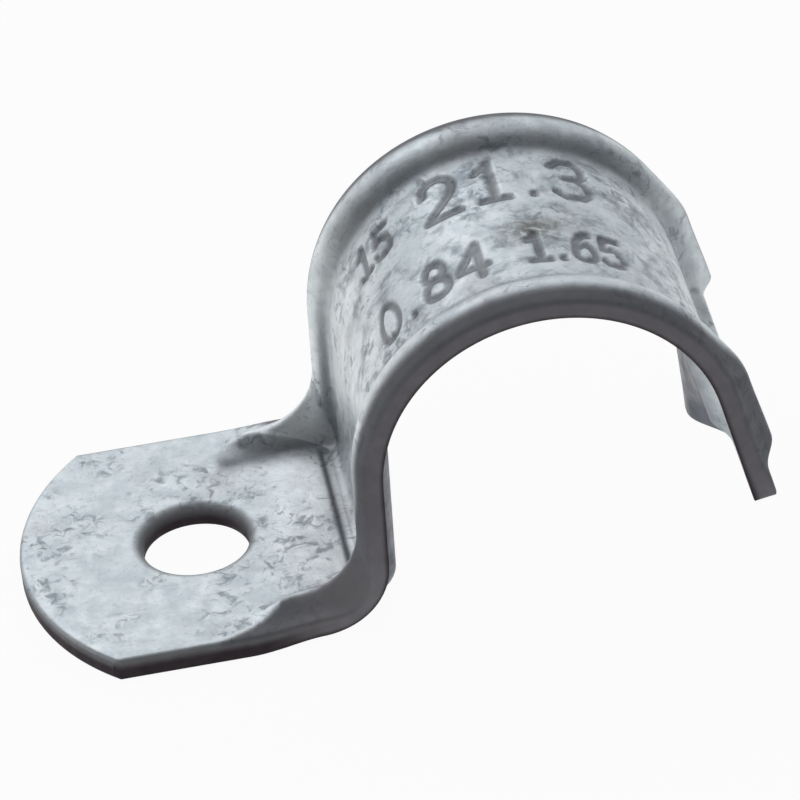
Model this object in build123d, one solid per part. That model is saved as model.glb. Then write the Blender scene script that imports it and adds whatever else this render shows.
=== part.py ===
from build123d import *
from math import acos, cos, pi, radians, sin, sqrt, tan
import os

# One-hole pipe strap, pressed from one piece of sheet. Lengths in mm, angles in degrees.
# Frame: origin on the mounting surface at the centre of the screw hole, pipe axis along Y at
# x = pipe_x, so the foot ends towards -X and the tail is at +X.

# Pipe and sheet
pipe_diameter = 21.34
pipe_play = 0.08
sheet = 1.65
saddle_radius = pipe_diameter / 2 + pipe_play
pipe_x = 24.1
pipe_z = 11.5

# Plan outline: the foot is a little wider than the arch, whose ribs draw the sheet in
foot_end_x = -12.3
foot_corner_x = -6.9
foot_half_width = 12.35
arch_half_width = 12.05
taper_end_x = 9.0

# Screw hole in the foot
hole_diameter = 7.4
hole_rim_round = 0.8

# Side profile: angles on the arch are measured up from +X at the pipe axis
leg_angle = 178
split_angle = 33
tongue_angle = 2.5
lip_angle = 12.5
tip_cut_angle = 7
tail_tip_z = 5.5
bend_radius = 0.8

# Raised rim beside the recessed band: rise, and the radii of its root and shoulder
rim_rise = 1.1
rim_width = 1.85
rim_crown_radius = 14
root_radius = 1.5
shoulder_radius = 0.8
rim_y = arch_half_width - rim_width
rim_reach = shoulder_radius + sheet + root_radius
rim_slope = acos((rim_reach - rim_rise) / rim_reach)
band_half_width = rim_y - rim_reach * sin(rim_slope)

# The rim runs out on the foot. It carries a bead that stiffens the bend, is low on the arch, swells
# towards the lip and ends near the tail tip
rim_start = 2.3
rim_on_foot = 0.5
bead_y = rim_y - 0.4
bead_half_width = 2.0
bead_on_foot = 0.6
bead_on_arch = 0.1
bead_on_lip = 0.7
bead_on_tail = 0.85
inner_bend_per_rise = 1.8
outer_bend_per_rise = 2.7
bend_per_bead = 2.0
plain_tail = 1.6
fade_run = 1.5

# Tongue in the middle of the tail, which keeps to the pipe while the lips flare
tongue_half_width = 0.2
tongue_blend = 4.4

# Even steps from one side section to the next across the tongue and across each rim
tongue_steps = 20
rim_steps = 12


def smooth_step(value, start, run):
    t = min(max((value - start) / run, 0.0), 1.0)
    return t * t * (3 - 2 * t)


def rim(y, lift):
    """Rise of the sheet's lower (lift 0) or upper (lift = sheet) side from band to rim at width y."""
    y = abs(y)
    root = root_radius + sheet - lift
    if y <= band_half_width:
        return 0.0
    if y <= band_half_width + root * sin(rim_slope):
        return root - sqrt(root**2 - (y - band_half_width) ** 2)
    crown = (shoulder_radius if y < rim_y else rim_crown_radius - sheet) + lift
    return rim_rise - crown + sqrt(crown**2 - (y - rim_y) ** 2)


def bead(y):
    across = min(abs(abs(y) - bead_y) / bead_half_width, 1.0)
    return (1 + cos(pi * across)) / 2


def arch_point(y, off, angle):
    radius = saddle_radius + off
    return Vector(pipe_x + radius * cos(angle), y, pipe_z + radius * sin(angle))


def arch_offset(y, lift):
    return lift + rim(y, lift) + bead_on_arch * bead(y)


def foot_to_arch(y, lift):
    """Edges of one side of the sheet at width y: foot, rim start, bend, leg and arch."""
    on_foot = lift + rim_on_foot * rim(y, lift) + bead_on_foot * bead(y)
    on_arch = arch_offset(y, lift)
    per_rise = inner_bend_per_rise if lift else outer_bend_per_rise
    bend = bend_radius + sheet - lift + per_rise * rim(y, 0) + bend_per_bead * bead(y)
    leg, split = radians(leg_angle), radians(split_angle)
    leg_top = arch_point(y, on_arch, leg)
    corner = leg_top + Vector(-sin(leg), 0, cos(leg)) * ((leg_top.Z - on_foot) / -cos(leg))
    setback = bend * tan((leg - pi / 2) / 2)
    bend_start = corner - Vector(setback, 0, 0)
    bend_end = corner + Vector(sin(leg), 0, -cos(leg)) * setback
    start = Vector(rim_start, y, lift)
    along = Vector(1, 0, 0)
    flat = on_foot == lift
    return [
        Line(start, bend_start) if flat else Spline(start, bend_start, tangents=[along, along]),
        TangentArc(bend_start, bend_end, tangent=along),
        Line(bend_end, leg_top),
        ThreePointArc(leg_top, arch_point(y, on_arch, (leg + split) / 2), arch_point(y, on_arch, split)),
    ]


def arch_to_tip(y, lift):
    """Edges of one side of the sheet at width y: end of the arch, then the tail to its tip."""
    flare = smooth_step(abs(y), tongue_half_width, tongue_blend)
    on_arch = arch_offset(y, lift)
    split, lip, cut = radians(split_angle), radians(lip_angle), radians(tip_cut_angle)
    turn = radians(tongue_angle + (lip_angle - tongue_angle) * flare)
    down, out = Vector(sin(turn), 0, -cos(turn)), Vector(cos(turn), 0, sin(turn))
    cut_down = Vector(sin(cut), 0, -cos(cut))

    lip_rise = rim(arch_half_width, 0)
    lip_top = arch_point(y, lip_rise, lip)
    lip_tip = lip_top + Vector(sin(lip), 0, -cos(lip)) * ((lip_top.Z - tail_tip_z) / cos(lip))

    on_lip = on_arch + (bead_on_lip - bead_on_arch) * bead(y)
    on_tail = on_arch + (bead_on_tail - bead_on_arch) * bead(y)
    on_tip = lift + lip_rise * flare
    tail_top = arch_point(y, on_lip, turn)
    length = (lip_tip - tail_top - out * (on_tip - on_lip)).dot(cut_down) / down.dot(cut_down)
    fade_start = tail_top + down * (length - plain_tail - fade_run) + out * (on_tail - on_lip)
    fade_end = tail_top + down * (length - plain_tail) + out * (on_tip - on_lip)
    tail_tip = fade_end + down * plain_tail

    arch_start = arch_point(y, on_arch, split)
    halfway = arch_point(y, (on_arch + on_lip) / 2, (split + turn) / 2)
    leaving = Vector(sin(split), 0, -cos(split))
    round_end = on_lip == on_arch
    return [
        ThreePointArc(arch_start, halfway, tail_top)
        if round_end
        else Spline(arch_start, halfway, tail_top, tangents=[leaving, down]),
        Spline(tail_top, fade_start, tangents=[down, down]),
        Spline(fade_start, fade_end, tangents=[down, down]),
        Line(fade_end, tail_tip),
    ]


def section(y, *stretches):
    """Closed side section of the sheet at width y over one or more stretches of its length."""
    low = [edge for stretch in stretches for edge in stretch(y, 0)]
    top = [edge for stretch in stretches for edge in stretch(y, sheet)]
    ends = [Line(low[0] @ 0, top[0] @ 0), Line(low[-1] @ 1, top[-1] @ 1)]
    return Face(Wire(low + top + ends))


def lofted(start, end, steps, *stretches):
    """Side sections joined across the width, at even steps."""
    return loft([section(start + (end - start) * i / steps, *stretches) for i in range(steps + 1)])


def foot():
    """Flat foot with an arc for its end and a corner at each side."""
    near, far = Vector(foot_corner_x, -foot_half_width), Vector(foot_corner_x, foot_half_width)
    sides = Polyline(far, (rim_start, far.Y), (rim_start, near.Y), near)
    face = Face(Wire([ThreePointArc(near, (foot_end_x, 0), far)] + list(sides.edges())))
    return extrude(face, amount=sheet, dir=(0, 0, 1))


def side_waste():
    """Waste along one side, between the foot's width and the arch's, with a straight taper."""
    far_x, out = 2 * pipe_x, 2 * foot_half_width
    a, b = (rim_start, foot_half_width), (taper_end_x, arch_half_width)
    edges = Polyline(a, b, (far_x, b[1]), (far_x, out), (a[0], out), a)
    return extrude(Face(Wire(list(edges.edges()))), amount=3 * pipe_z, both=True)


def screw_hole():
    """Tool for the screw hole: a plain bore whose upper end flares by the rim's round."""
    bore, mouth = hole_diameter / 2, hole_diameter / 2 + hole_rim_round
    below, above = Vector(0, 0, -sheet), Vector(0, 0, 2 * sheet)
    centre = Vector(mouth, 0, sheet - hole_rim_round)
    halfway = centre + Vector(-1, 0, 1).normalized() * hole_rim_round
    flare = ThreePointArc((bore, 0, centre.Z), halfway, (mouth, 0, sheet))
    sides = Polyline(flare @ 1, (mouth, 0, above.Z), above, below, (bore, 0, below.Z), flare @ 0)
    return revolve(Face(Wire([flare] + list(sides.edges()))), axis=Axis.Z)


band = extrude(section(0, foot_to_arch), amount=band_half_width, both=True)
tongue = lofted(-band_half_width, band_half_width, tongue_steps, arch_to_tip)
far_rim = lofted(band_half_width, foot_half_width, rim_steps, foot_to_arch, arch_to_tip) - side_waste()
near_rim = far_rim.mirror(Plane.XZ)
strap = foot() + band + tongue + far_rim + near_rim - screw_hole()

os.makedirs("parts", exist_ok=True)
export_step(strap, "parts/strap.step")
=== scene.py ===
# %% [markdown]
# One-hole pipe strap, pressed from a single piece of galvanised sheet. The foot has one screw hole,
# the arch holds a half-inch pipe, and the tail ends just above the wall. The CAD frame gives the
# exact size and place. This lesson dresses it: it presses a fine mesh with rounded edges, stamps
# plain figures, and gives it a mottled zinc finish. Lengths here are in millimetres until the mesh
# is made, because a maker reads a strap in millimetres.

# %% Load the frame and keep its box
import bmesh
import bpy
import numpy as np
from math import acos, cos, pi, radians, sin, tan
from mathutils import Matrix, Vector


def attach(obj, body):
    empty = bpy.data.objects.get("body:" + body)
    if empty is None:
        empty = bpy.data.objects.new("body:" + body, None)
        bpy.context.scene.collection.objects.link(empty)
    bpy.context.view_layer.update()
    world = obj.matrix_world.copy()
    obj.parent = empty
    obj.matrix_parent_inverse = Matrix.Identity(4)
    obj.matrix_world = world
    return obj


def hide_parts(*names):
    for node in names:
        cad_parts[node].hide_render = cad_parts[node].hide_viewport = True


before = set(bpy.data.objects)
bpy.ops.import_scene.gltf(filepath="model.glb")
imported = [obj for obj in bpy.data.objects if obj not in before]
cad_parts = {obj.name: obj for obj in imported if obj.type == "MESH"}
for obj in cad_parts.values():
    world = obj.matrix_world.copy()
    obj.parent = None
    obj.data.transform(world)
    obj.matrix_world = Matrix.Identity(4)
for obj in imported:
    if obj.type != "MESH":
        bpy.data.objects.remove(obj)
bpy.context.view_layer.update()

mm = 0.001

# %% [markdown]
# The camera stands in front of the strap's near side and looks down at about 35 degrees, a little
# from the left, and it's tipped by six degrees, as in the photograph. It could be aimed with a
# Track To constraint, but its tip and its exact aim are easier to write as three directions.

# %% Camera at the photograph's angle
camera_turn, camera_height, camera_tip = radians(-5.588), radians(35.344), radians(-6.440)
camera_aim = Vector((15.32, 0.12, 10.24)) * mm
camera_reach = 382.27 * mm

flat_reach = cos(camera_height)
back = Vector((sin(camera_turn) * flat_reach, -cos(camera_turn) * flat_reach, sin(camera_height)))
level = Vector((cos(camera_turn), sin(camera_turn), 0))
rise = back.cross(level)
to_right = level * cos(camera_tip) + rise * sin(camera_tip)
to_top = rise * cos(camera_tip) - level * sin(camera_tip)

camera = bpy.data.objects.new("camera", bpy.data.cameras.new("camera"))
camera.data.lens = 249.66
camera.matrix_world = (
    Matrix.Translation(camera_aim + back * camera_reach)
    @ Matrix((to_right, to_top, back)).transposed().to_4x4()
)
bpy.context.scene.collection.objects.link(camera)
bpy.context.scene.camera = camera
bpy.context.scene.view_settings.view_transform = "Standard"
print("camera at", [round(v, 3) for v in camera.location])

# %% [markdown]
# A node material is a handful of nodes joined by links. The first helper adds a node with its
# settings and inputs in one line, so each finish below reads as a list of its layers. The second
# starts a material and hands back its tree and its shader.

# %% Helpers for node trees
def add_node(tree, kind, settings=None, **inputs):
    """Adds one node. Settings are its options, and inputs are numbers, colours or other sockets."""
    node = tree.nodes.new(kind)
    for name, value in (settings or {}).items():
        setattr(node, name, value)
    for name, value in inputs.items():
        socket = node.inputs[int(name[1:])] if name[0] == "_" else node.inputs[name.replace("_", " ")]
        if isinstance(value, bpy.types.NodeSocket):
            tree.links.new(value, socket)
        else:
            socket.default_value = value
    return node


def start_material(name):
    material = bpy.data.materials.new(name)
    material.use_nodes = True
    tree = material.node_tree
    return material, tree, tree.nodes["Principled BSDF"]

# %% [markdown]
# The strap lies on a plain white floor. A single quad is enough, because nothing but its colour and
# the soft shadow shows. Most of its white is a glow that only camera, mirror and glass rays see. So
# the ground reads as white and shows in the zinc, and a faint shadow still falls on it.

# %% Floor
floor_reach, floor_glow = 3.0, 0.95
corners = [(-1, -1), (1, -1), (1, 1), (-1, 1)]
floor_points = [(x * floor_reach, y * floor_reach, 0) for x, y in corners]
floor_mesh = bpy.data.meshes.new("floor")
floor_mesh.from_pydata(floor_points, [], [(0, 1, 2, 3)])
floor = bpy.data.objects.new("floor", floor_mesh)
bpy.context.scene.collection.objects.link(floor)

floor_paint, floor_tree, floor_shader = start_material("floor paint")
floor_shader.inputs["Base Color"].default_value = (0.96, 0.96, 0.96, 1)
floor_shader.inputs["Roughness"].default_value = 0.9
floor_shader.inputs["Specular IOR Level"].default_value = 0.0
rays = add_node(floor_tree, "ShaderNodeLightPath").outputs
larger, product = {"operation": "MAXIMUM"}, {"operation": "MULTIPLY"}
seen = add_node(floor_tree, "ShaderNodeMath", larger, _0=rays["Is Camera Ray"], _1=rays["Is Glossy Ray"])
seen = add_node(floor_tree, "ShaderNodeMath", larger, _0=seen.outputs[0], _1=rays["Is Transmission Ray"])
share = add_node(floor_tree, "ShaderNodeMath", product, _0=seen.outputs[0], _1=floor_glow).outputs[0]
white = add_node(floor_tree, "ShaderNodeEmission", Color=(1, 1, 1, 1), Strength=1.0).outputs[0]
ground = add_node(floor_tree, "ShaderNodeMixShader", _0=share, _1=floor_shader.outputs[0], _2=white)
floor_tree.links.new(ground.outputs[0], floor_tree.nodes["Material Output"].inputs["Surface"])
floor_mesh.materials.append(floor_paint)
print("floor", 2 * floor_reach, "m wide")

# %% [markdown]
# Soft studio light: a bright dome behind and a darker front where the photographer stands. Zinc
# mirrors its surroundings. The flats mirror the bright back and stay light, and what slopes to the
# near side mirrors the darker front and turns grey, which is how the rims and beads show. One big
# lamp over the back gives the shadow. Lamps alone could do it, but they leave hard edges in metal.

# %% Studio light
world = bpy.data.worlds.new("studio")
world.use_nodes = True
bpy.context.scene.world = world
sky = world.node_tree
toward_light = Vector((-0.05, 0.86, 0.50)).normalized()
dark_front, bright_back = 0.21, 0.88
look = add_node(sky, "ShaderNodeTexCoord").outputs["Generated"]
toward = add_node(sky, "ShaderNodeVectorMath", {"operation": "DOT_PRODUCT"}, _0=look, _1=toward_light)
glow = add_node(sky, "ShaderNodeMapRange", {"interpolation_type": "SMOOTHSTEP"},
                Value=toward.outputs["Value"], From_Min=0.12, From_Max=0.95,
                To_Min=dark_front, To_Max=bright_back)
sky.links.new(glow.outputs["Result"], sky.nodes["Background"].inputs["Strength"])
sky.nodes["Background"].inputs["Color"].default_value = (0.975, 0.985, 1.0, 1)

lamp_place, lamp_size, lamp_power = Vector((-0.3, 0.8, 0.8)), 0.8, 0.9
lamp = bpy.data.objects.new("back lamp", bpy.data.lights.new("back lamp", "AREA"))
lamp.data.size = lamp_size
lamp.data.energy = lamp_power
lamp.location = lamp_place
lamp.rotation_euler = (camera_aim - lamp_place).to_track_quat("-Z", "Y").to_euler()
bpy.context.scene.collection.objects.link(lamp)
print("dome", dark_front, "to", bright_back, "and one lamp of", lamp_power, "W")

# %% [markdown]
# The sheet is 1.65 mm thick and wraps a pipe of 21.34 mm with a little play. The foot's end is one
# shallow arc through its two corners, and past the screw hole the foot narrows to the arch's width.
# These measures are the same as the solid's.

# %% Sheet, pipe and foot
sheet, saddle = 1.65, 10.75
pipe_x, pipe_z = 24.1, 11.5
foot_end, foot_corner, foot_half, arch_half, taper_end = -12.3, -6.9, 12.35, 12.05, 9.0
hole_radius, hole_round = 3.7, 0.8
hole_edge = hole_radius + hole_round

corner_run = foot_corner - foot_end
end_arc_radius = (foot_half**2 + corner_run**2) / (2 * corner_run)
end_arc_x = foot_end + end_arc_radius
print("foot end arc", round(end_arc_radius, 2), "mm")

# %% [markdown]
# A flat band runs between two raised rims, and a bead on each rim stiffens the bend and swells near
# the tail. Rims and beads are the sheet's rise at each width. As functions of the width they serve
# whole rows of mesh points at once, and the top and the underside stay a sheet apart. Only at the
# outer edge does the top sink a little, where the punch drew the sheet down before it cut.

# %% Rise of the rims and beads across the width
rim_rise, rim_width, crown_radius, root_radius, shoulder_radius = 1.1, 1.85, 14.0, 1.5, 0.8
rim_y = arch_half - rim_width
rim_reach = shoulder_radius + sheet + root_radius
rim_slope = acos((rim_reach - rim_rise) / rim_reach)
band_half = rim_y - rim_reach * sin(rim_slope)
bead_y, bead_half = rim_y - 0.4, 2.0
roll_depth, roll_start = 0.34, 10.2


def ease(value, start=0.0, run=1.0):
    share = np.clip((value - start) / run, 0, 1)
    return share * share * (3 - 2 * share)


def rim(y, lift):
    """Rise of the rim over the band at width y: lift 0 is the underside, lift = sheet the top."""
    y = np.abs(y)
    root = root_radius + sheet - lift
    valley = root - np.sqrt(np.maximum(root**2 - np.clip(y - band_half, 0, None) ** 2, 0))
    crown = np.where(y < rim_y, shoulder_radius, crown_radius - sheet) + lift
    hill = rim_rise - crown + np.sqrt(np.maximum(crown**2 - (y - rim_y) ** 2, 0))
    share = np.clip((y - roll_start) / (arch_half - roll_start), 0, 1.1)
    rolled = roll_depth * share**2 if lift else 0.0
    return np.where(y <= band_half + root * sin(rim_slope), valley, hill) - rolled


def bead(y):
    across = np.minimum(np.abs(np.abs(y) - bead_y) / bead_half, 1)
    return (1 + np.cos(pi * across)) / 2


widths = np.array([0, band_half, 9.0, rim_y, arch_half])
print("top rise at", widths.round(1), "is", rim(widths, sheet).round(2))

# %% [markdown]
# The sheet runs in stretches: foot, run up to the bend, bend, leg, arch, swell, tail, fade and tip.
# For each, a function gives the side view, x and z, at a share of the stretch. They follow the
# solid's own lines and arcs, so the fine mesh lies on the solid. Wherever the sheet rises, the bend
# gets rounder, because a punch can't fold a raised bead sharply.

# %% Side view of the foot, the bend and the leg
leg_angle, split_angle = radians(178), radians(33)
bend_radius, inner_per_rise, outer_per_rise, bend_per_bead = 0.8, 1.8, 2.7, 2.0
rim_start, rim_on_foot, bead_on_foot, bead_on_arch = 2.3, 0.5, 0.6, 0.1


def on_arch_at(y, lift):
    return lift + rim(y, lift) + bead_on_arch * bead(y)


def around_pipe(offset, angle):
    return pipe_x + (saddle + offset) * np.cos(angle), pipe_z + (saddle + offset) * np.sin(angle)


def foot_and_bend(stretch, t, y, lift):
    on_foot = lift + rim_on_foot * rim(y, lift) + bead_on_foot * bead(y)
    per_rise = inner_per_rise if lift else outer_per_rise
    bend = bend_radius + sheet - lift + per_rise * rim(y, 0) + bend_per_bead * bead(y)
    top_x, top_z = around_pipe(on_arch_at(y, lift), leg_angle)
    corner_x = top_x + tan(leg_angle) * (top_z - on_foot)
    turn = leg_angle - pi / 2
    bend_x = corner_x - bend * tan(turn / 2)
    if stretch == "foot":
        end_x = end_arc_x - np.sqrt(end_arc_radius**2 - y**2)
        x = -hole_edge + t * np.where(t < 0, -hole_edge - end_x, 2 * hole_edge)
        return x, lift + (on_foot - lift) * ease(x, rim_start, bend_x - rim_start)
    if stretch == "run":
        x = hole_edge + (bend_x - hole_edge) * t
        return x, lift + (on_foot - lift) * ease(x, rim_start, bend_x - rim_start)
    end_x, end_z = bend_x + bend * sin(turn), on_foot + bend * (1 - cos(turn))
    if stretch == "bend":
        return bend_x + bend * np.sin(turn * t), on_foot + bend * (1 - np.cos(turn * t))
    return end_x + (top_x - end_x) * t, end_z + (top_z - end_z) * t


print("top of the arch at", round(float(around_pipe(sheet, pi / 2)[1]), 2), "mm")

# %% [markdown]
# Past the arch the tail's middle, the tongue, keeps to the pipe while the edges flare outwards. The
# beads swell and then fade into a plain tip. Beside the tongue the pressing drew the cut end up a
# little, so the end isn't quite straight.

# %% Side view of the tail
tongue_angle, lip_angle, cut_angle = radians(2.5), radians(12.5), radians(7)
tongue_half, tongue_blend = 0.2, 4.4
bead_on_lip, bead_on_tail = 0.7, 0.85
tail_tip_z, plain_tail, fade_run = 5.5, 1.6, 1.5
drawn_in, drawn_at, drawn_half = 1.5, 8.0, 1.8


def tail_side(stretch, t, y, lift):
    flare = ease(np.abs(y), tongue_half, tongue_blend)
    on_arch = on_arch_at(y, lift)
    turn = tongue_angle + (lip_angle - tongue_angle) * flare
    down_x, down_z, out_x, out_z = np.sin(turn), -np.cos(turn), np.cos(turn), np.sin(turn)
    lip_rise = rim(arch_half, 0)
    lip_x, lip_z = around_pipe(lip_rise, lip_angle)
    fall = (lip_z - tail_tip_z) / cos(lip_angle)
    tip_x, tip_z = lip_x + sin(lip_angle) * fall, lip_z - cos(lip_angle) * fall
    on_lip = on_arch + (bead_on_lip - bead_on_arch) * bead(y)
    on_tail = on_arch + (bead_on_tail - bead_on_arch) * bead(y)
    on_tip = lift + lip_rise * flare
    if stretch == "swell":
        angle = split_angle + (turn - split_angle) * t
        return around_pipe(on_arch + (on_lip - on_arch) * ease(t), angle)
    top_x, top_z = around_pipe(on_lip, turn)
    cut_x, cut_z = sin(cut_angle), -cos(cut_angle)
    settle = on_tip - on_lip
    length = (tip_x - top_x - out_x * settle) * cut_x + (tip_z - top_z - out_z * settle) * cut_z
    length = length / (down_x * cut_x + down_z * cut_z)
    length = length - drawn_in * np.exp(-(((np.abs(y) - drawn_at) / drawn_half) ** 2))
    start = length - plain_tail - fade_run
    if stretch == "tail":
        along, out = start * t, (on_tail - on_lip) * ease(t)
    elif stretch == "fade":
        along, out = start + fade_run * t, on_tail - on_lip + (on_tip - on_tail) * ease(t)
    else:
        along, out = start + fade_run + plain_tail * t, settle
    return top_x + down_x * along + out_x * out, top_z + down_z * along + out_z * out


def side_view(stretch, t, y, lift, stamp=0.0):
    """x and z of the sheet's underside (lift 0) or top (lift = sheet) at share t of a stretch."""
    if stretch in ("foot", "run", "bend", "leg"):
        return foot_and_bend(stretch, t, y, lift)
    if stretch == "arch":
        return around_pipe(on_arch_at(y, lift) - stamp, leg_angle + (split_angle - leg_angle) * t)
    return tail_side(stretch, t, y, lift)


for place, y in (("tongue", 0.0), ("lip", arch_half)):
    tip = side_view("tip", 1.0, np.array([y]), 0.0)
    print("the", place, "ends at x", round(float(tip[0][0]), 2), "z", round(float(tip[1][0]), 2))

# %% [markdown]
# A stamp presses the pipe's size into the band before the sheet is bent. The figures here are plain
# numbers: the pipe's nominal size of 15, its outside diameter of 21.3 mm or 0.84 inch, and the
# sheet's 1.65 mm. Real text objects could be carved with a Boolean, but a stamp has soft shoulders.
# So each figure is a few strokes, and the mesh sinks by how near it lies to a stroke.

# %% Strokes of the stamped figures
def ring(x, y, wide, high, count=20):
    turns = [2 * pi * k / count for k in range(count + 1)]
    return [(x + wide * cos(turn), y + high * sin(turn)) for turn in turns]


figure_strokes = {
    "0": [ring(0.5, 0.5, 0.46, 0.5)],
    "1": [[(0.2, 0.78), (0.58, 1.0), (0.58, 0.0)], [(0.2, 0.0), (0.96, 0.0)]],
    "2": [[(0.05, 0.72), (0.12, 0.9), (0.32, 1.0), (0.66, 1.0), (0.9, 0.88), (0.94, 0.68),
           (0.8, 0.48), (0.04, 0.0), (1.0, 0.0)]],
    "3": [[(0.06, 0.86), (0.3, 1.0), (0.7, 1.0), (0.92, 0.86), (0.92, 0.66), (0.7, 0.53), (0.4, 0.53)],
          [(0.7, 0.53), (0.97, 0.38), (0.97, 0.16), (0.72, 0.0), (0.28, 0.0), (0.03, 0.14)]],
    "4": [[(0.76, 0.0), (0.76, 1.0), (0.0, 0.3), (1.02, 0.3)]],
    "5": [[(0.9, 1.0), (0.16, 1.0), (0.1, 0.56), (0.5, 0.64), (0.86, 0.54), (0.98, 0.32),
           (0.84, 0.08), (0.5, 0.0), (0.2, 0.02), (0.02, 0.14)]],
    "6": [ring(0.52, 0.3, 0.44, 0.3), [(0.08, 0.32), (0.2, 0.72), (0.46, 0.94), (0.84, 1.0)]],
    "8": [ring(0.5, 0.765, 0.36, 0.235), ring(0.5, 0.265, 0.45, 0.265)],
    ".": [[(0.5, 0.02), (0.5, 0.06)]],
}
print(len(figure_strokes), "figures drawn in a square of one by one")

# %% [markdown]
# Each group of figures has its start along the arch from the arch's top, the place of its foot
# across the strap, and a figure's width, height and gap. A decimal point takes less width than a
# figure. A bump texture could carry the figures too, but real depth holds from every side.

# %% Groups of figures and the depth of the stamp
figure_groups = [
    ("15", -12.2, 2.9, 1.5, 3.1, 0.6),
    ("21.3", -5.6, 2.35, 2.6, 4.5, 1.0),
    ("0.84", -11.6, -5.9, 2.0, 3.7, 0.75),
    ("1.65", 0.3, -5.7, 1.6, 3.2, 0.5),
]
stamp_depth, stroke_half, stroke_shoulder = 0.2, 0.2, 0.25
point_share, far_off = 0.45, 9.0


def stroke_segments():
    segments = []
    for text, start, foot, wide, high, gap in figure_groups:
        for letter in text:
            broad = point_share * wide if letter == "." else wide
            for stroke in figure_strokes[letter]:
                points = [(start + broad * x, foot + high * y) for x, y in stroke]
                segments += list(zip(points[:-1], points[1:]))
            start += broad + gap
    return segments


def stamped(along, y):
    """Depth of the stamp, from 0 to 1, at distances along the arch from its top and widths y."""
    nearest = np.full(along.shape, far_off)
    for (ax, ay), (bx, by) in segments:
        run_x, run_y = bx - ax, by - ay
        share = ((along - ax) * run_x + (y - ay) * run_y) / (run_x**2 + run_y**2)
        share = np.clip(share, 0, 1)
        nearest = np.minimum(nearest, np.hypot(along - ax - share * run_x, y - ay - share * run_y))
    return 1 - ease(nearest, stroke_half, stroke_shoulder)


segments = stroke_segments()
print(len(segments), "stroke pieces in", len(figure_groups), "groups of figures")

# %% [markdown]
# The mesh is a grid: lines across the strap at stations along it, and points across at set widths.
# It's fine where the figures are and coarser elsewhere, which keeps it under 200,000 triangles. A
# subdivision surface would round the form but blur the figures, so the grid has its own density.

# %% Stations along and points across
coarse_step, fine_step = 0.22, 0.165
near_edge, near_figures, far_figures = -7.3, -6.4, 7.2
before_top, past_top = 12.2, 6.6
edge_round, burr_round = 0.36, 0.16
side = foot_half - edge_round


def spread(*spans):
    """Values from span to span: each span is its start, its end and about how far apart they lie."""
    values = [spans[0][0]]
    for start, end, step in spans:
        count = max(1, round(abs(end - start) / step))
        values += [start + (end - start) * (k + 1) / count for k in range(count)]
    return np.array(values)


def evenly(name, count):
    """Stations in equal steps. The start is left out, because the stretch before ends on it."""
    return [(name, (k + 1) / count) for k in range(count)]


across = spread(
    (-side, near_edge, coarse_step), (near_edge, near_figures, coarse_step),
    (near_figures, -hole_edge, fine_step), (-hole_edge, hole_edge, fine_step),
    (hole_edge, far_figures, fine_step), (far_figures, side, coarse_step),
)
arch_length = (leg_angle - split_angle) * (saddle + sheet)
arch_top = (leg_angle - pi / 2) * (saddle + sheet)
figure_start, figure_end = arch_top - before_top, arch_top + past_top
along_arch = spread((0, figure_start, 0.35), (figure_start, figure_end, fine_step),
                    (figure_end, arch_length, 0.3))
stations = [("foot", t) for t in spread((-0.8, 0, 0.08))] + evenly("foot", 22)
stations += [("run", t) for t in spread((0, 0.84, 0.07), (0.84, 1, 0.02))[1:]]
stations += evenly("bend", 20) + evenly("leg", 20)
stations += [("arch", a / arch_length) for a in along_arch[1:]]
stations += evenly("swell", 18) + evenly("tail", 14) + evenly("fade", 12)
stations += [("tip", t) for t in spread((0, 0.7, 0.175))[1:]]
print(len(stations), "lines along,", len(across), "points across")

# %% [markdown]
# A section across the sheet is a closed loop: the top from the near side to the far side, down the
# far cut edge, back along the underside, and up the near cut edge. A punch rolls the sheet's top
# edge over and leaves the lower edge sharper, so the two roundings differ. A Bevel modifier could
# round them too, but it's simpler to place the points of a rounding than to pick its edges.

# %% Section loop of the sheet
under_from = 9.0


def quarter(steps):
    return np.linspace(0, pi / 2, steps + 1)[1:]


def edge_of_sheet():
    """Width and lift down one cut edge, from the rolled top edge to the sharper lower edge."""
    roll, burr = quarter(5), quarter(3)
    wall = np.linspace(sheet - edge_round, burr_round, 4)[1:]
    rolled_wide, burr_wide = side + edge_round * np.sin(roll), foot_half - burr_round * (1 - np.cos(burr))
    rolled_high, burr_high = sheet - edge_round * (1 - np.cos(roll)), burr_round * (1 - np.sin(burr))
    wide = np.concatenate([rolled_wide, [foot_half] * len(wall), burr_wide])
    high = np.concatenate([rolled_high, wall, burr_high])
    return wide[:-1], high[:-1]


edge_wide, edge_high = edge_of_sheet()
outwards = ease(np.abs(across), under_from, side - under_from)
under = across + np.sign(across) * (edge_round - burr_round) * outwards
loop_y = np.concatenate([across, edge_wide, under[::-1], -edge_wide[::-1]])
flat_top, flat_under = np.full(len(across), sheet), np.zeros(len(across))
loop_lift = np.concatenate([flat_top, edge_high, flat_under, edge_high[::-1]])
top_of_loop = np.arange(len(across))
under_of_loop = 2 * len(across) + len(edge_wide) - 1 - top_of_loop
print(len(loop_y), "points in a section")

# %% [markdown]
# The strap is wider at the foot than at the arch, and both of its ends are cut and rounded like its
# sides. So each line of the mesh gets its own half width, and the last lines at an end step inwards
# as they reach the end, as a rounded edge does. On the arch the figures push the top down.

# %% Points of one line
narrows_from = 10.6


def half_width_at(x):
    return np.interp(x, [rim_start, taper_end], [foot_half, arch_half])


def along_from_top(t):
    """Distance along the arch's top surface from its highest line, at share t of the arch."""
    return (pi / 2 - leg_angle + (leg_angle - split_angle) * t) * (saddle + sheet)


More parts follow.
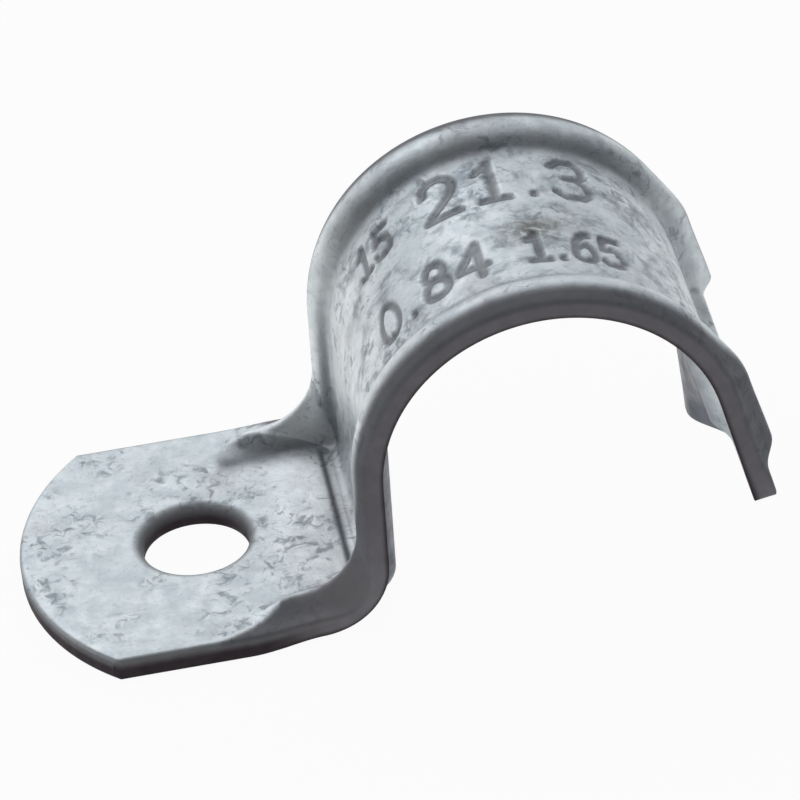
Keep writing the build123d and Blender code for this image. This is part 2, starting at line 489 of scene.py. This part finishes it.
def stepped_in(stretch, t, y, turned):
    """Share of a stretch where a line of the rounded end lies, a little before the cut."""
    share = loop_lift / sheet
    set_back = (edge_round * share + burr_round * (1 - share)) * (1 - sin(turned))
    foot_run = -hole_edge - (end_arc_x - np.sqrt(end_arc_radius**2 - y**2))
    return t - np.sign(t) * set_back / (foot_run if stretch == "foot" else plain_tail)


def mesh_line(stretch, t, turned, at_end):
    """Points of one section loop. turned goes from 0 to a quarter turn over a rounded end."""
    top_in, low_in = edge_round * (1 - cos(turned)), burr_round * (1 - cos(turned))
    half = half_width_at(side_view(stretch, t, np.array([arch_half]), sheet)[0][0])
    give = np.clip((np.abs(loop_y) - narrows_from) / (foot_half - narrows_from), 0, 1)
    y = loop_y - np.sign(loop_y) * (foot_half - half) * give
    y = np.clip(y, -half + top_in, half - top_in)
    share = np.clip(loop_lift, low_in, sheet - top_in) / sheet
    if at_end:
        t = stepped_in(stretch, t, y, turned)
    stamp = np.zeros(loop_y.shape)
    if stretch == "arch":
        stamp = stamped(np.full(loop_y.shape, along_from_top(t)), loop_y) * (loop_lift == sheet)
    low, top = side_view(stretch, t, y, 0.0), side_view(stretch, t, y, sheet, stamp * stamp_depth)
    x, z = (low[k] * (1 - share) + top[k] * share for k in (0, 1))
    return np.column_stack([x, y, z]), stamp


middle_line = mesh_line("arch", 0.5, 0.0, False)[0]
print("a line on the arch is", round(float(np.ptp(middle_line[:, 1])), 2), "mm wide")

# %% [markdown]
# Around the screw hole the straight lines of the grid are drawn into circles, so the hole is round.
# A round patch could be fitted in as a mesh of its own, but this way the strap stays one grid.

# %% Grid of points
circle_reach, centre_guard = 7.0, 0.1


def around_hole(points):
    """Draws the grid's square round the screw hole into a circle, and leaves the rest in place."""
    square, circle = np.abs(points[:, :2]).max(1), np.hypot(points[:, 0], points[:, 1])
    pull = (1 - ease(square, hole_edge, circle_reach - hole_edge)) * (square < circle_reach)
    points[:, :2] *= (1 + pull * (square / np.maximum(circle, centre_guard) - 1))[:, None]
    return points


rounding = np.linspace(pi / 2, 0, 6)
lines = [("foot", -1.0, turned, True) for turned in rounding]
lines += [(name, t, 0.0, False) for name, t in stations]
lines += [("tip", 1.0, turned, True) for turned in rounding[::-1]]
rows, stamps = [], []
for line in lines:
    row, stamp = mesh_line(*line)
    rows.append(around_hole(row) if line[0] in ("foot", "run") else row)
    stamps.append(stamp)
grid = np.array(rows)
print("grid of", grid.shape[0], "by", grid.shape[1], "points")
print("box", grid.min((0, 1)).round(2), grid.max((0, 1)).round(2))

# %% [markdown]
# Faces join each line to the next, and each cut end is closed by its own faces. The screw hole is a
# square of cells left out of the top and of the underside. A Boolean could cut it too, but it leaves
# long thin faces on the flat foot that shade badly.

# %% Faces of the sheet
across_n, loop_n, line_n = len(across), len(loop_y), len(lines)
foot_rows = [i for i, line in enumerate(lines) if line[0] == "foot"]
first_row = next(i for i in foot_rows if abs(lines[i][1]) < 1e-9)
last_row = foot_rows[-1]
first_y = int(np.argmin(np.abs(across + hole_edge)))
last_y = int(np.argmin(np.abs(across - hole_edge)))


def in_hole(i, j):
    over = first_y <= j < last_y
    below = under_of_loop[last_y] <= j < under_of_loop[first_y]
    return first_row <= i < last_row and (over or below)


def end_faces(i):
    """Closes line i: strips from the top to the underside, and one face at each cut edge."""
    start = i * loop_n
    top, low = start + top_of_loop, start + under_of_loop
    strips = [(top[j], low[j], low[j + 1], top[j + 1]) for j in range(across_n - 1)]
    far = [start + j for j in range(across_n - 1, across_n + len(edge_wide) + 1)]
    near = [start + j for j in range(loop_n - len(edge_wide) - 1, loop_n)] + [start]
    return strips + [tuple(far[::-1]), tuple(near[::-1])]


faces = []
for i in range(line_n - 1):
    for j in range(loop_n):
        k = (j + 1) % loop_n
        if not in_hole(i, j):
            faces.append((i * loop_n + j, (i + 1) * loop_n + j, (i + 1) * loop_n + k, i * loop_n + k))
for i, flip in ((0, True), (line_n - 1, False)):
    for face in end_faces(i):
        faces.append(tuple(int(v) for v in (face[::-1] if flip else face)))
print(len(faces), "faces round the sheet and over its two ends")

# %% [markdown]
# The punched hole has a rounded upper rim, where the screw's head sits, a straight bore and a small
# rounding below. Rings of points follow that profile from the opening in the top to the one in the
# underside, and faces join ring to ring.

# %% Wall of the screw hole
rim_turns, bore_drop = quarter(7), 0.35
square = [(first_row, j) for j in range(first_y, last_y)]
square += [(i, last_y) for i in range(first_row, last_row)]
square += [(last_row, j) for j in range(last_y, first_y, -1)]
square += [(i, first_y) for i in range(last_row, first_row, -1)]
rim_loop = [i * loop_n + int(top_of_loop[j]) for i, j in square]
foot_loop = [i * loop_n + int(under_of_loop[j]) for i, j in square]
points, ring_n = grid.reshape(-1, 3), len(rim_loop)
turn_round = np.arctan2(points[rim_loop, 1], points[rim_loop, 0])

hole_rings = [(hole_edge - hole_round * sin(a), sheet - hole_round * (1 - cos(a))) for a in rim_turns]
hole_rings += [(hole_radius, sheet - hole_round - bore_drop), (hole_radius, burr_round)]
for a in quarter(3):
    hole_rings.append((hole_radius + burr_round * (1 - cos(a)), burr_round * (1 - sin(a))))
ring_points = [np.column_stack([r * np.cos(turn_round), r * np.sin(turn_round), np.full(ring_n, z)])
               for r, z in hole_rings]
loops = [[len(points) + k * ring_n + m for m in range(ring_n)] for k in range(len(hole_rings))]
loops = [rim_loop] + loops + [foot_loop]
for upper, lower in zip(loops[:-1], loops[1:]):
    for m in range(ring_n):
        n = (m + 1) % ring_n
        faces.append((upper[m], lower[m], lower[n], upper[n]))
all_points = np.vstack([points] + ring_points)
print(len(all_points), "points and", len(faces), "faces, hole", 2 * hole_radius, "mm")

# %% [markdown]
# Masks painted on the mesh's points tell the finish where it is. The first ones follow the sheet's
# shearing: the cut edges and how far down each point lies, and the rolled slope beside them, where
# shade is painted. On the foot that slope is a wedge that widens towards the bend, longer on the near
# side, so the near side gets more painted shade. Cycles can find edges by Bevel or Pointiness, but
# those can't tell a cut edge from the edge of a figure.

# %% Masks for the cut edges and for painted shade on the rolled slope
top_part, cut_from, far_away, run_length = 0.75, 0.02, 99.0, 6.4
slope_start, slope_run = 10.15, 1.2
tail_widens, corner_widens, corner_sharpens = 0.9, 0.5, 0.6
foot_slope_start, foot_slope_run = 11.9, 0.6
near_wedge, near_from, near_run = 2.25, -0.5, 6.5
far_wedge, far_from, far_run = 1.75, 7.0, 4.0

flat = np.isin(np.arange(loop_n), np.concatenate([top_of_loop, under_of_loop]))
cut = ease(sheet - loop_lift, cut_from, edge_round) * ~flat
depth = (1 - loop_lift / sheet) * ~flat
wide, on_top = np.abs(loop_y), loop_lift > sheet * top_part
below = (loop_lift < burr_round) * 1.0


def along_foot(name, t):
    """About how far past the hole's middle a line of the foot lies. Other lines are far away."""
    return {"foot": hole_edge * (2 * t - 1), "run": hole_edge + run_length * t}.get(name, far_away)


def in_tail(name, t):
    return {"swell": ease(t), "tail": 1.0, "fade": 1.0, "tip": 1.0}.get(name, 0.0)


def shaded_slope(name, t):
    if name in ("foot", "run"):
        near = near_wedge * ease(along_foot(name, t), near_from, near_run)
        far = far_wedge * ease(along_foot(name, t), far_from, far_run)
        return ease(wide, foot_slope_start - np.where(loop_y < 0, near, far), foot_slope_run)
    near_corner = {"bend": 1.0, "leg": 1 - ease(t)}.get(name, 0.0) * (loop_y < 0)
    start = slope_start - tail_widens * in_tail(name, t) - corner_widens * near_corner
    return ease(wide, start, slope_run - corner_sharpens * near_corner)


def edge_masks(name, t, turned, at_end):
    return {
        "cut_edge": np.maximum(cut, (1 - cos(turned)) if at_end else 0.0),
        "cut_depth": np.maximum(depth, below) if at_end else depth,
        # The rolled mask marks the outer slopes that get painted shade, wider at the near corner.
        "rolled": shaded_slope(name, t) * on_top,
    }


print("cut edge on", int((cut > 0).sum()), "points of a section")

# %% [markdown]
# The other masks say where shade is painted: in the hollow beside each rim, in a groove beside the
# far bead on the foot, in the crease before the bend together with dirt, and on the underside, darker
# in a strip inside the tail and lighter, as painted light, in a strip near each edge of the tail.
# One more marks a brown smear of dirt on the band. They could be painted by hand, but as functions
# of the place they stay right when a size changes.

# %% Masks for painted shade in hollows, the crease and the underside
hollow_in, hollow_half = 0.8, 0.7
groove_share, groove_in, groove_half, groove_from, groove_run = 1.7, 1.6, 1.0, 2.2, 0.9
crease_at, crease_half, bend_share, bend_fade = 0.905, 0.04, 0.35, 0.4
crease_edge, crease_blend, run_fade = 0.4, 1.4, 0.6
lit_share, lit_at, lit_half = 0.75, 9.2, 1.2
shade_at, shade_half, shade_from, shade_run = 5.4, 1.6, 0.2, 0.6
smear_along, smear_long, smear_y, smear_wide = 1.2, 1.9, -1.9, 1.2


def bell(value, middle, half):
    return np.exp(-(((value - middle) / half) ** 2))


def grime_masks(name, t):
    groove = 0.0
    if name in ("foot", "run"):
        groove = groove_share * bell(loop_y, bead_y - groove_in, groove_half)
        groove = groove * ease(along_foot(name, t), groove_from, groove_run)
    fading = {"tip": 0.0, "fade": 1 - t, "foot": 0.0, "run": ease(t, 0.0, run_fade)}.get(name, 1.0)
    crease = {"run": bell(t, crease_at, crease_half), "bend": bend_share * bell(t, 0.0, bend_fade)}
    off_edge = 1 - ease(wide, band_half - crease_edge, crease_blend)
    shade = {"tail": ease(t, shade_from, shade_run), "fade": 1.0}.get(name, 0.0)
    along = along_from_top(t) if name == "arch" else far_away
    # Masks of painted shade, a painted light strip inside the tail, and a smear of dirt.
    return {
        "hollow": np.maximum(bell(wide, band_half + hollow_in, hollow_half) * fading, groove) * on_top,
        "crease": crease.get(name, 0.0) * off_edge * on_top,
        "underside": below * (1 - lit_share * bell(wide, lit_at, lit_half) * in_tail(name, t)),
        "inner_shade": below * bell(wide, shade_at, shade_half) * shade,
        "smear": bell(along, smear_along, smear_long) * bell(loop_y, smear_y, smear_wide) * on_top,
    }


print("hollows lie at", round(band_half + hollow_in, 2), "mm from the middle")

# %% [markdown]
# The masks of all lines are strung together in the order of the mesh's points, with the rings of
# the hole's wall last. The wall is a cut edge too, lighter at its rim and darker below, as painted
# shade inside the hole.

# %% Masks on every point
bore_share = 0.8


def masks_on_points():
    by_line = [edge_masks(*line) | grime_masks(*line[:2]) for line in lines]
    masks = {name: [line[name] for line in by_line] for name in by_line[0]}
    masks["stamped"] = stamps
    around = [sin(a) for a in rim_turns] + [1.0] * (len(hole_rings) - len(rim_turns))
    ring_depth = [bore_share * (1 - z / sheet) for _, z in hole_rings]
    rings = {"cut_edge": np.repeat(around, ring_n), "cut_depth": np.repeat(ring_depth, ring_n)}
    bare = np.zeros(len(all_points) - len(points))
    return {name: np.concatenate([np.ravel(mask), rings.get(name, bare)]) for name, mask in masks.items()}


masks = masks_on_points()
print({name: round(float(mask.mean()), 3) for name, mask in masks.items()})

# %% [markdown]
# The mesh is made in metres and joins the frame. The masks become named attributes, which a shader
# reads with an Attribute node. Points that fall together on the rounded ends are merged. The sheet
# stands for the CAD node, so it replaces it and rides on the strap's one body.

# %% The strap's mesh
merge_reach = 0.002 * mm
strap_mesh = bpy.data.meshes.new("strap sheet")
strap_mesh.from_pydata((all_points * mm).tolist(), [], faces)
for name, mask in masks.items():
    layer = strap_mesh.attributes.new(name, "FLOAT", "POINT")
    layer.data.foreach_set("value", np.asarray(mask, dtype=np.float32))
shape = bmesh.new()
shape.from_mesh(strap_mesh)
bmesh.ops.remove_doubles(shape, verts=shape.verts, dist=merge_reach)
shape.to_mesh(strap_mesh)
shape.free()
strap_mesh.polygons.foreach_set("use_smooth", np.ones(len(strap_mesh.polygons), bool))
strap = bpy.data.objects.new("strap_sheet", strap_mesh)
bpy.context.scene.collection.objects.link(strap)
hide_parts("strap")
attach(strap, "root")
print(sum(len(p.vertices) - 2 for p in strap_mesh.polygons), "triangles")

# %% [markdown]
# Hot-dipped zinc is a skin of crystals with specks, stains and fine scratches, each at its own size.
# A photograph could be wrapped round the strap, but noise fits any place and any distance. These
# helpers make one noise, a soft step between two values, a sum or product, a mix of colours and the
# value of a mask. The noise runs in millimetres of the strap.

# %% Helpers for the finish
zinc, tree, shader = start_material("galvanised zinc")
where = add_node(tree, "ShaderNodeTexCoord").outputs["Object"]
in_mm = add_node(tree, "ShaderNodeVectorMath", {"operation": "SCALE"}, Vector=where, Scale=1 / mm)
in_mm = in_mm.outputs["Vector"]


def noise(scale, detail=2.0, rough=0.5, twist=0.0, at=in_mm):
    node = add_node(tree, "ShaderNodeTexNoise", Vector=at, Scale=scale, Detail=detail,
                    Roughness=rough, Distortion=twist)
    return node.outputs["Fac"]


def between(value, low, high, least=0.0, most=1.0):
    """A soft step: least while the value is under low, most once it's over high."""
    node = add_node(tree, "ShaderNodeMapRange", {"interpolation_type": "SMOOTHSTEP"}, Value=value,
                    From_Min=low, From_Max=high, To_Min=least, To_Max=most)
    return node.outputs["Result"]


def reckon(operation, a, b):
    return add_node(tree, "ShaderNodeMath", {"operation": operation}, _0=a, _1=b).outputs[0]


def part_of(a, b):
    return reckon("MULTIPLY", a, b)


def laid_over(below, colour, share, at_most=None):
    """Mixes a colour over the one below by its share, which at_most weakens everywhere."""
    share = share if at_most is None else part_of(share, at_most)
    mix = add_node(tree, "ShaderNodeMix", {"data_type": "RGBA", "blend_type": "MIX"})
    for socket, value in ((0, share), (6, below), (7, colour)):
        if isinstance(value, bpy.types.NodeSocket):
            tree.links.new(value, mix.inputs[socket])
        else:
            mix.inputs[socket].default_value = value
    return mix.outputs[2]


def painted(name):
    return add_node(tree, "ShaderNodeAttribute", {"attribute_name": name}).outputs["Fac"]


print("noise runs in units of", mm, "m")

# %% [markdown]
# The layers need to know where they are: on the foot or past it, on the leg, or on top of the band.
# The position in millimetres gives that. Dark specks gather in patches, so one coarse noise decides
# where the others may show, and the scratches are a noise that's stretched along the strap.

# %% Places and patterns on the zinc
spot = add_node(tree, "ShaderNodeSeparateXYZ", Vector=in_mm)
x_place, y_place, z_place = (spot.outputs[axis] for axis in "XYZ")
past_foot = between(x_place, 3.0, 9.0)
on_leg = part_of(past_foot, between(x_place, 12.5, 17.5, 1.0, 0.0))
off_middle = reckon("ABSOLUTE", y_place, 0.0)
on_band = part_of(between(z_place, 12.0, 17.0), between(off_middle, 7.0, 8.4, 1.0, 0.15))

patches = between(noise(0.20, detail=3.0), 0.44, 0.58)
specks = between(noise(1.05, detail=3.0, rough=0.6, twist=1.0), 0.47, 0.69)
fine_specks = between(noise(2.6, detail=3.0, rough=0.6, twist=0.4), 0.56, 0.70)
grains = add_node(tree, "ShaderNodeTexVoronoi", Vector=in_mm, Scale=0.8).outputs["Color"]
grain_value = add_node(tree, "ShaderNodeSeparateColor", Color=grains).outputs[0]
stretched = add_node(tree, "ShaderNodeMapping", Vector=in_mm, Scale=(0.35, 3.2, 0.35)).outputs["Vector"]
scratches = between(noise(0.9, detail=4.0, rough=0.55, twist=0.2, at=stretched), 0.60, 0.70)
pale_clouds = between(noise(0.55, detail=3.0, rough=0.6, twist=0.5), 0.36, 0.68)
stain_clouds = between(noise(0.16), 0.56, 0.75, 0.0, 0.30)
grime_clouds = between(noise(0.42, detail=4.0, rough=0.65, twist=0.4), 0.48, 0.68)
print(len(tree.nodes), "nodes for places and patterns")

# %% [markdown]
# The zinc's body is bluish and light and paler in clouds, and painted light makes the leg lighter.
# Over it lie faint brown stains, crystal grains, specks, scratches and grey grime on the band. Each
# layer is mixed over the ones before by its own share, which is easier to tune than one big noise.

# %% Body of the zinc
light_zinc, pale_zinc = (0.61, 0.675, 0.71, 1), (0.73, 0.785, 0.815, 1)
leg_painted_light, dull_zinc, stain = (0.88, 0.92, 0.94, 1), (0.20, 0.235, 0.27, 1), (0.34, 0.29, 0.31, 1)

colour = laid_over(light_zinc, pale_zinc, pale_clouds)
# Painted light: the leg is mixed lighter.
colour = laid_over(colour, leg_painted_light, on_leg, at_most=0.75)
colour = laid_over(colour, stain, stain_clouds)
colour = laid_over(colour, dull_zinc, between(grain_value, 0.0, 1.0), at_most=0.10)
colour = laid_over(colour, dull_zinc, part_of(specks, patches), at_most=0.78)
colour = laid_over(colour, dull_zinc, fine_specks, at_most=0.22)
colour = laid_over(colour, dull_zinc, scratches, at_most=0.20)
colour = laid_over(colour, dull_zinc, part_of(grime_clouds, on_band), at_most=0.68)
print("zinc from", dull_zinc[:3], "to", leg_painted_light[:3])

# %% [markdown]
# Dirt lies in a brown smear on the band. Painted shade, with some dirt, darkens the hollows beside
# the rims, the figures and most of all the crease. The underside gets cloudy painted shade, and the
# rolled slope painted shade too. Separate materials would meet in hard lines, so each is a darker
# colour that fades in by its own mask.

# %% Dirt and painted shade: hollows, figures, crease, underside and the rolled slope
smear_brown, shade_and_dirt, crease_shade_and_dirt = (0.10, 0.092, 0.072, 1), (0.11, 0.115, 0.13, 1), (0.07, 0.075, 0.09, 1)
underside_shade, deep_underside_shade = (0.095, 0.10, 0.125, 1), (0.035, 0.042, 0.045, 1)
slope_shade = (0.135, 0.132, 0.146, 1)

smear_clouds = between(noise(0.9, detail=3.0, rough=0.6, twist=0.8), 0.30, 0.50)
colour = laid_over(colour, smear_brown, part_of(painted("smear"), smear_clouds), at_most=0.85)
# Painted shade with dirt in the hollows and the figures, and darkest in the crease.
colour = laid_over(colour, shade_and_dirt, painted("hollow"), at_most=0.50)
colour = laid_over(colour, shade_and_dirt, painted("stamped"), at_most=0.74)
colour = laid_over(colour, crease_shade_and_dirt, painted("crease"), at_most=0.90)
# Painted shade on the underside, cloudy, and deepest in a strip inside the tail.
inner_clouds = between(noise(0.30, detail=3.0, rough=0.6, twist=0.6), 0.48, 0.66)
underside_shading = laid_over(underside_shade, deep_underside_shade, reckon("MAXIMUM", inner_clouds, painted("inner_shade")))
colour = laid_over(colour, underside_shading, painted("underside"), at_most=0.92)
# Painted shade on the rolled slope.
colour = laid_over(colour, slope_shade, painted("rolled"), at_most=0.86)
print(len(tree.nodes), "nodes with the dirt")

# %% [markdown]
# A sheared edge shows two bands: the upper part is grey steel, and the lower part, down to the burr,
# is painted nearly black as shadow along the lower edge. On the foot the dark begins higher, and low
# down past the foot the upper part gets painted light, as light thrown back by the floor. A second
# material could do it, but the mask of depth gives both bands a soft border.

# %% Cut edges, with painted shadow and painted bounce light
cut_top, cut_steel = (0.27, 0.27, 0.28, 1), (0.235, 0.223, 0.242, 1)
burr_shadow, floor_bounce_grey = (0.054, 0.040, 0.048, 1), (0.40, 0.385, 0.41, 1)

cut_depth, cut_edge = painted("cut_depth"), painted("cut_edge")
# The lower band is painted shadow, along the lower edge and down the hole's wall.
foot_cut = laid_over(cut_top, burr_shadow, between(cut_depth, 0.05, 0.55))
arch_cut = laid_over(cut_steel, burr_shadow, between(cut_depth, 0.68, 1.0))
colour = laid_over(colour, laid_over(foot_cut, arch_cut, past_foot), cut_edge)
edge_share = reckon("MAXIMUM", cut_edge, painted("rolled"))
# Painted light: low on the cut edges past the foot, light bounced from the floor.
floor_bounce = part_of(past_foot, between(z_place, 3.0, 10.0, 1.0, 0.0))
floor_bounce = part_of(floor_bounce, between(cut_depth, 0.6, 0.85, 0.5, 0.0))
colour = laid_over(colour, floor_bounce_grey, part_of(floor_bounce, edge_share))
tree.links.new(colour, shader.inputs["Base Color"])
print("cut edge from", cut_top[:3], "to", burr_shadow[:3])

# %% [markdown]
# Clean zinc is a metal that mirrors softly. Where it's rolled, cut or creased it mirrors less, so
# the same masks lower Metallic and Specular and raise Roughness. Last, a small bump gives the skin
# its grit. Displacement would move real points, which is more than a skin this thin needs.

# %% Sheen and grit
bump_strength, bump_height = 0.35, 0.06 * mm
dulled = reckon("MAXIMUM", edge_share, painted("crease"))
tree.links.new(between(dulled, 0.0, 1.0, 0.88, 0.25), shader.inputs["Metallic"])
tree.links.new(between(dulled, 0.0, 1.0, 0.5, 0.2), shader.inputs["Specular IOR Level"])
roughness = between(noise(0.9, detail=3.0), 0.3, 0.7, 0.34, 0.48)
tree.links.new(reckon("ADD", roughness, part_of(dulled, 0.25)), shader.inputs["Roughness"])
grit = reckon("ADD", noise(2.4, detail=4.0, rough=0.6), part_of(noise(0.5), 1.5))
bump = add_node(tree, "ShaderNodeBump", Height=grit, Strength=bump_strength, Distance=bump_height)
tree.links.new(bump.outputs["Normal"], shader.inputs["Normal"])
strap_mesh.materials.append(zinc)
print(len(tree.nodes), "nodes in the zinc")
